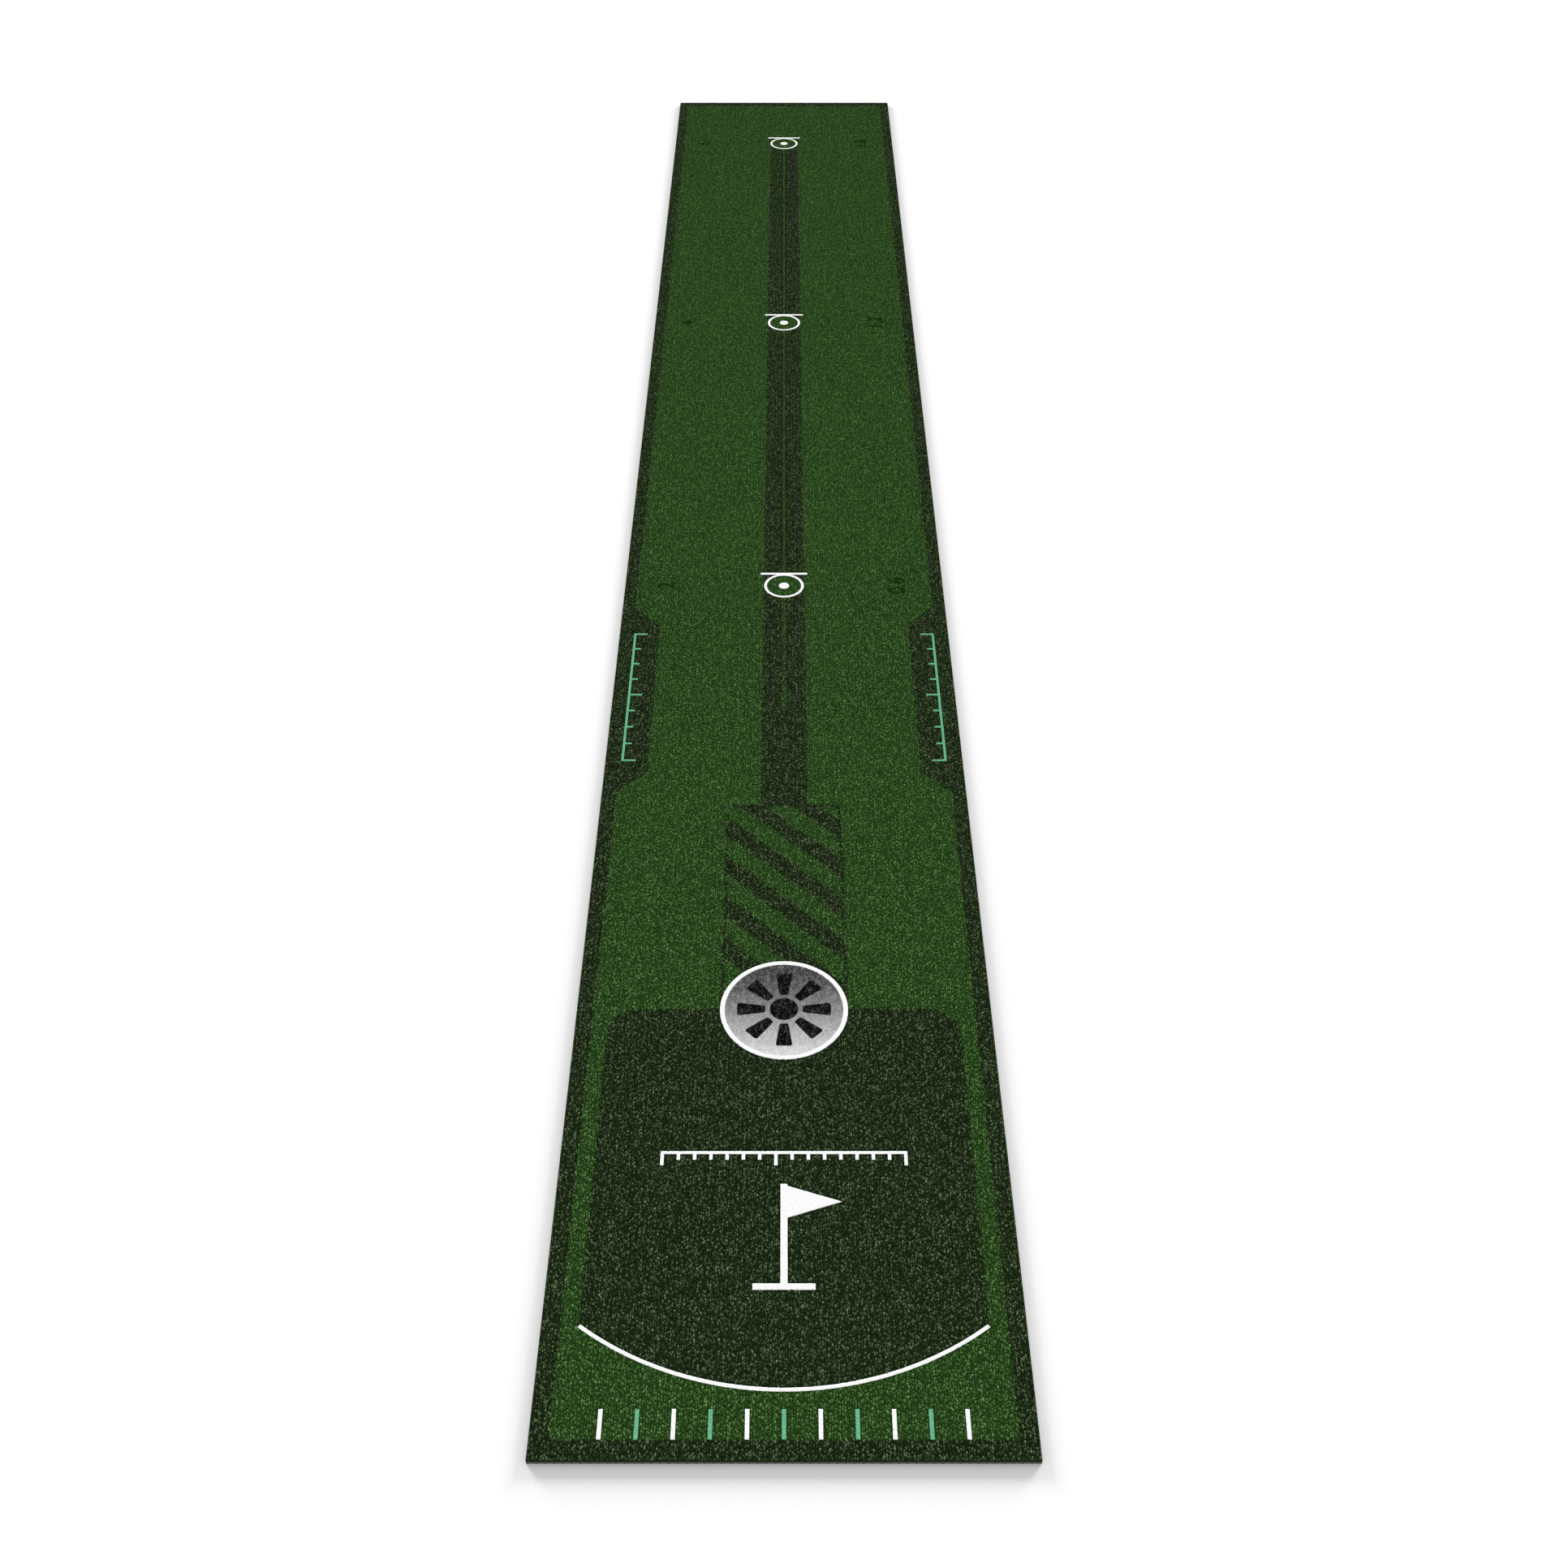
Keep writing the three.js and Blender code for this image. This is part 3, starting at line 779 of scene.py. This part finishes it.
def make_yarn_group():
    """Dyed yarn, read off its chart: tone across, root to tip upward, and fine fibres along it. The roots
    are painted darker than the tips, as shade between the tufts.
    """
    group = bpy.data.node_groups.new("dyed_yarn", "ShaderNodeTree")
    add_inputs(group, [
        ("Dark root", "NodeSocketColor", None),
        ("Light root", "NodeSocketColor", None),
        ("Dark tip", "NodeSocketColor", None),
        ("Light tip", "NodeSocketColor", None),
        ("Fibre contrast", "NodeSocketFloat", FIBRE_CONTRAST),
    ])
    for name, kind in (("Color", "NodeSocketColor"), ("Roughness", "NodeSocketFloat"),
                       ("Height", "NodeSocketFloat")):
        group.interface.new_socket(name, in_out="OUTPUT", socket_type=kind)
    given = add_node(group, "NodeGroupInput").outputs
    chart = add_node(group, "ShaderNodeUVMap", uv_map="OFBake").outputs[0]
    tone, rise, _ = split(group, chart)
    across = calc(group, "MULTIPLY", tone, FIBRES_ACROSS)
    along = calc(group, "MULTIPLY", rise, FIBRES_ALONG)
    fibres = add_node(group, "ShaderNodeTexNoise", {
        "Vector": combine(group, across, along), "Scale": 1.0, "Detail": 2.0,
    }, noise_dimensions="2D").outputs[0]
    root = blend(group, tone, given["Dark root"], given["Light root"])
    tip = blend(group, tone, given["Dark tip"], given["Light tip"])
    # Painted shade: the colour darkens from the tip down to the root, as shade between the tufts.
    out_of_root_shade = add_node(group, "ShaderNodeMapRange", {
        "Value": rise, "From Min": ROOT_SHADE_FADE[0], "From Max": ROOT_SHADE_FADE[1],
    }, interpolation_type="SMOOTHSTEP").outputs[0]
    yarn = blend(group, out_of_root_shade, root, tip)
    uneven = calc(group, "SUBTRACT", fibres, 0.5)
    lift = calc(group, "MULTIPLY_ADD", uneven, given["Fibre contrast"], 1.0)
    level = add_node(group, "ShaderNodeVectorMath", {0: yarn, "Scale": lift}, operation="SCALE").outputs[0]
    roughness = vary(group, uneven, reach=0.25, start=0.86)
    add_node(group, "NodeGroupOutput", {"Color": level, "Roughness": roughness, "Height": fibres})
    return group


def make_yarn(name, group, dye):
    """The material of one dye."""
    material, tree, shader = new_material(name)
    yarn = add_node(tree, "ShaderNodeGroup", node_tree=group)
    for socket, colour in zip(("Dark root", "Light root", "Dark tip", "Light tip"), dye):
        yarn.inputs[socket].default_value = linear(*colour)
    tree.links.new(yarn.outputs["Color"], shader.inputs["Base Color"])
    tree.links.new(yarn.outputs["Roughness"], shader.inputs["Roughness"])
    add_bump(tree, shader, yarn.outputs["Height"], strength=0.4, distance=0.1 * MM)
    shader.inputs["Specular IOR Level"].default_value = 0.0
    return material


def make_rubber():
    """Black rubber: matt, faintly mottled, with a fine grain."""
    material, tree, shader = new_material("rubber_black")
    place = add_node(tree, "ShaderNodeTexCoord").outputs["Object"]
    mottle = noise(tree, place, scale=35.0)
    grain = noise(tree, place, scale=1800.0, detail=2.0)
    colour = blend(tree, mottle, linear(18, 18, 19), linear(36, 36, 37))
    tree.links.new(colour, shader.inputs["Base Color"])
    tree.links.new(vary(tree, grain, reach=0.25, start=0.62), shader.inputs["Roughness"])
    add_bump(tree, shader, grain, strength=0.5, distance=0.05 * MM)
    shader.inputs["Specular IOR Level"].default_value = 0.35
    return material


def make_latex():
    """Dried latex: cream, with thin and thick patches."""
    material, tree, shader = new_material("lock_coat_latex")
    place = add_node(tree, "ShaderNodeTexCoord").outputs["Object"]
    patches = noise(tree, place, scale=160.0)
    colour = blend(tree, patches, linear(120, 116, 98), linear(168, 163, 142))
    tree.links.new(colour, shader.inputs["Base Color"])
    tree.links.new(vary(tree, patches, reach=0.3, start=0.4), shader.inputs["Roughness"])
    add_bump(tree, shader, patches, strength=0.4, distance=0.05 * MM)
    return material


def make_weave():
    """Plain-woven carrier tape: slit yarns over and under each other, dyed green, and painted darker where
    they dip, as shade in the weave's hollows.
    """
    material, tree, shader = new_material("carrier_green")
    place = split(tree, add_node(tree, "ShaderNodeTexCoord").outputs["Object"])
    turn = math.tau / WEAVE_PITCH
    warp = calc(tree, "SINE", calc(tree, "MULTIPLY", place[0], turn))
    weft = calc(tree, "SINE", calc(tree, "MULTIPLY", place[1], turn))
    over = vary(tree, calc(tree, "MULTIPLY", warp, weft), reach=0.5, start=0.5)
    # Painted shade: the cloth's colour darkens where the yarns dip under, in the weave's hollows.
    colour = blend(tree, over, linear(26, 40, 22), linear(52, 76, 44))
    tree.links.new(colour, shader.inputs["Base Color"])
    tree.links.new(vary(tree, over, reach=-0.15, start=0.8), shader.inputs["Roughness"])
    add_bump(tree, shader, over, strength=0.6, distance=0.2 * MM)
    shader.inputs["Specular IOR Level"].default_value = 0.3
    return material


# ---------------------------------------------------------------- the layers


def rows_along(tree, size, pitch):
    """How many rows fit in a size, and the length that they span."""
    gaps = calc(tree, "FLOOR", calc(tree, "DIVIDE", size, pitch))
    return calc(tree, "ADD", gaps, 1.0), calc(tree, "MULTIPLY", gaps, pitch)


def ribs_across(tree, given, axis, spans, underside):
    """A row of ribs along one axis, each as long as the sheet is on the other.

    The ribs hang from the sheet's underside, and the cross ribs hang a step less than the long ones.
    """
    room = calc(tree, "SUBTRACT", spans[axis], given["Rib width"])
    count, reach = rows_along(tree, room, given["Pitch"])
    start, step = [0.0, 0.0], [0.0, 0.0]
    start[axis] = calc(tree, "MULTIPLY", reach, -0.5)
    step[axis] = given["Pitch"]
    depth = given["Rib depth"]
    if axis == 1:
        depth = calc(tree, "SUBTRACT", depth, given["Crossing step"])
    middle = calc(tree, "MULTIPLY_ADD", depth, -0.5, underside)
    line = add_node(tree, "GeometryNodeMeshLine", {
        "Count": count, "Start Location": combine(tree, *start, middle),
        "Offset": combine(tree, *step),
    })
    size = [given["Rib width"], given["Rib width"]]
    size[1 - axis] = spans[1 - axis]
    rib = add_node(tree, "GeometryNodeMeshCube", {"Size": combine(tree, *size, depth)})
    return placed_on(tree, line.outputs["Mesh"], {"Instance": rib.outputs["Mesh"]})


def make_rib_tree():
    """Ribs along and across the underside of a sheet, crossing as a waffle."""
    tree = bpy.data.node_groups.new("waffle_ribs", "GeometryNodeTree")
    add_inputs(tree, [
        ("Sheet", "NodeSocketGeometry", None),
        ("Rubber", "NodeSocketMaterial", None),
        ("Pitch", "NodeSocketFloat", RIB_PITCH),
        ("Rib width", "NodeSocketFloat", RIB_WIDTH),
        ("Rib depth", "NodeSocketFloat", RIB_DEPTH),
        ("Crossing step", "NodeSocketFloat", CROSS_RIB_STEP),
    ])
    tree.interface.new_socket("Ribbed sheet", in_out="OUTPUT", socket_type="NodeSocketGeometry")
    given = add_node(tree, "NodeGroupInput").outputs
    low, high = corners(tree, given["Sheet"])
    spans = [calc(tree, "SUBTRACT", high[axis], low[axis]) for axis in (0, 1)]
    ribs = [ribs_across(tree, given, axis, spans, low[2]) for axis in (0, 1)]
    finish = add_node(tree, "GeometryNodeSetMaterial", {
        "Geometry": join(tree, given["Sheet"], *ribs), "Material": given["Rubber"],
    })
    add_node(tree, "NodeGroupOutput", {0: finish.outputs[0]})
    return tree


def make_rubber_sheet(material):
    """The rubber sheet, with a waffle of ribs under it that stands on the floor."""
    low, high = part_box("rubber_backing")
    slab = make_box("rubber_slab", (low[0], low[1], low[2] + RIB_DEPTH), high)
    sheet = grown(slab, make_rib_tree(), {"Rubber": material}, "rubber_sheet")
    bpy.data.objects.remove(slab)
    return keep_piece(sheet, "rubber_black", "rubber_backing")


def make_cloth(material):
    """The carrier cloth: a thin closed sheet in square facets."""
    low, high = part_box("carrier_fabric")
    across, along = (round((high[i] - low[i]) / CLOTH_FACET) for i in (0, 1))
    shape = bmesh.new()
    bmesh.ops.create_grid(shape, x_segments=across, y_segments=along, size=0.5)
    for vertex in shape.verts:
        x, y, _ = vertex.co
        vertex.co = (x * (high[0] - low[0]), y * (high[1] - low[1]), low[2])
    top = bmesh.ops.extrude_face_region(shape, geom=shape.faces[:])["geom"]
    raised = [part for part in top if isinstance(part, bmesh.types.BMVert)]
    bmesh.ops.translate(shape, verts=raised, vec=(0, 0, high[2] - low[2]))
    bmesh.ops.recalc_face_normals(shape, faces=shape.faces)
    cloth = object_from(shape, "carrier_cloth")
    cloth.data.materials.append(material)
    return keep_piece(cloth, "carrier_green", "carrier_fabric")


# ---------------------------------------------------------------- the regions of pile


def joined_copy(node, name):
    """A copy of a frame node's mesh with its loose corners merged."""
    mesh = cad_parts[node].data.copy()
    shape = bmesh.new()
    shape.from_mesh(mesh)
    bmesh.ops.remove_doubles(shape, verts=shape.verts, dist=CORNER_MERGE)
    shape.to_mesh(mesh)
    shape.free()
    mesh.materials.clear()
    return add_object(name, mesh)


def wall_push(vertex):
    """The way out of a solid at a corner of its upright walls, so long that each wall moves by 1."""
    walls = [face.normal for face in vertex.link_faces if abs(face.normal.z) < UPRIGHT]
    if not walls:
        return Vector((0, 0, 0))
    first = walls[0]
    second = min(walls, key=first.dot)
    return (first + second) / max(1 + first.dot(second), SHARPEST)


def region_of(node):
    """A region of pile, widened, with its top brought down to the ground between the tufts."""
    region = joined_copy(node, node + "_region")
    shape = bmesh.new()
    shape.from_mesh(region.data)
    shape.normal_update()
    pushes = [wall_push(vertex) * WIDENING for vertex in shape.verts]
    for vertex, push in zip(shape.verts, pushes):
        for axis in (0, 1):
            inside = min(vertex.co[axis] - cad_low[axis], cad_high[axis] - vertex.co[axis])
            if inside > WIDENING:
                vertex.co[axis] += push[axis]
        vertex.co.z = min(vertex.co.z, GROUND)
    shape.to_mesh(region.data)
    shape.free()
    return region


def dye_of(node):
    """The name of the dye that a frame node's pile is printed in."""
    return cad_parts[node].material_slots[0].material.name.split(".")[0]


def is_field(node):
    """Whether a region is part of the wide fields of colour, and not a mark on them."""
    return dye_of(node) in FIELD_DYES and node not in CLEAN_LINES


def bands_of(node):
    """The pieces that a region is grown as: the name of each, and the stretch of the mat it takes."""
    if node != "green_pile":
        return [(node + "_tufts", {})]
    step = (cad_high.y - cad_low.y) / GREEN_BANDS
    return [
        (f"green_tufts_{band + 1}", {
            "From": cad_low.y + band * step, "To": cad_low.y + (band + 1) * step,
            "With solid": band == 0,
        })
        for band in range(GREEN_BANDS)
    ]


def make_figure(text, x, y):
    """One distance figure over the pile, to be read from the mat's right side."""
    curve = bpy.data.curves.new("numeral", "FONT")
    curve.body = text
    curve.size = NUMERAL_SIZE
    curve.offset = NUMERAL_STROKE
    curve.align_x = "CENTER"
    curve.align_y = "CENTER"
    figure = add_object("numeral", curve)
    figure.location = (x, y, PILE_TOP + NUMERAL_LIFT)
    figure.rotation_euler.z = math.radians(90)
    return figure


def make_numerals():
    """The distance figures beside each target, as outlines that the green tufts are darkened under."""
    targets = sorted(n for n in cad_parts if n.startswith("target_dot_"))
    figures = []
    for place, target in enumerate(targets, start=1):
        low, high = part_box(target)
        middle = (low[1] + high[1]) / 2
        feet = str(FEET_EACH * place)
        metres = f"{METRES_EACH * place:.1f}"
        for text, from_left in ((feet, FEET_FROM_LEFT), (metres, METRES_FROM_LEFT)):
            figures.append(make_figure(text, cad_low.x + from_left, middle))
    bpy.context.view_layer.update()
    shape = bmesh.new()
    for figure in figures:
        flat = figure.to_mesh()
        flat.transform(figure.matrix_world)
        shape.from_mesh(flat)
        figure.to_mesh_clear()
        bpy.data.objects.remove(figure)
    return object_from(shape, "numerals")


def make_pile(yarns):
    """Every region of pile, tufted. The green field is cut into bands along the mat."""
    regions = {node: region_of(node) for node in sorted(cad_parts) if node not in LAYERS}
    marks = joined([region for node, region in regions.items() if not is_field(node)], "marks")
    tree, tuft, numerals = make_tuft_tree(), make_tuft(), make_numerals()
    pieces = []
    for node, region in regions.items():
        dye = dye_of(node)
        values = {"Marks": marks, "Tuft": tuft, "Dye": yarns[dye], **MARK_ROWS, **TONES[dye]}
        if is_field(node):
            values.update({**FIELD_ROWS, "Keep off marks": 1.0, "Fray": FRAY})
        values["With hem"] = node == "border_pile"
        if node == "green_pile":
            values["Numerals"] = numerals
        for name, band in bands_of(node):
            piece = grown(region, tree, {**values, **band}, name)
            pieces.append(keep_piece(piece, dye, node))
    for helper in (tuft, numerals, marks, *regions.values()):
        bpy.data.objects.remove(helper)
    return pieces


# ---------------------------------------------------------------- the stage


def make_floor():
    """A wide, plain, pale floor under the mat."""
    material, tree, shader = new_material("pale_floor")
    place = add_node(tree, "ShaderNodeTexCoord").outputs["Object"]
    patches = noise(tree, place, scale=2.0)
    colour = blend(tree, patches, linear(230, 230, 230), linear(233, 233, 233))
    tree.links.new(colour, shader.inputs["Base Color"])
    shader.inputs["Roughness"].default_value = 0.9
    shader.inputs["Specular IOR Level"].default_value = 0.1
    mesh = bpy.data.meshes.new("pale_floor")
    reach = FLOOR_SIZE / 2
    level = cad_low.z
    ends = [(-reach, -reach, level), (reach, -reach, level), (reach, reach, level), (-reach, reach, level)]
    mesh.from_pydata(ends, [], [(0, 1, 2, 3)])
    mesh.materials.append(material)
    floor = add_object("pale_floor", mesh)


def make_lights():
    """Even light from all round, and two wide soft lamps low beyond the far end."""
    world = bpy.data.worlds.new("studio")
    world.use_nodes = True
    sky = world.node_tree.nodes["Background"]
    sky.inputs["Color"].default_value = (1, 1, 1, 1)
    sky.inputs["Strength"].default_value = WORLD_LIGHT
    bpy.context.scene.world = world
    for turn in SUN_TURNS:
        lamp = bpy.data.lights.new("soft_lamp", "SUN")
        lamp.energy = SUN_STRENGTH
        lamp.angle = SUN_SPREAD
        towards = Vector((
            math.sin(turn) * math.cos(SUN_HEIGHT),
            -math.cos(turn) * math.cos(SUN_HEIGHT),
            -math.sin(SUN_HEIGHT),
        ))
        add_object("soft_lamp", lamp).rotation_euler = towards.to_track_quat("-Z", "Y").to_euler()


def make_camera():
    """A camera in front of the near end, looking down the mat."""
    lens = bpy.data.cameras.new("camera")
    lens.lens = CAMERA_LENS
    holder = add_object("camera", lens)
    holder.location = (0, cad_low.y - CAMERA_BEFORE_MAT, cad_high.z + CAMERA_OVER_MAT)
    holder.rotation_euler = (math.radians(90) - CAMERA_DIP, 0, 0)
    bpy.context.scene.camera = holder


# ---------------------------------------------------------------- the scene


def main():
    """Builds every piece, then the stage."""
    group = make_yarn_group()
    yarns = {name: make_yarn(name, group, dye) for name, dye in DYES.items()}
    make_rubber_sheet(make_rubber())
    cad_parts["lock_coat"].material_slots[0].material = make_latex()
    cloth = make_cloth(make_weave())
    pile = make_pile(yarns)
    make_floor()
    make_lights()
    make_camera()
    bpy.context.scene.view_settings.view_transform = "Standard"


main()
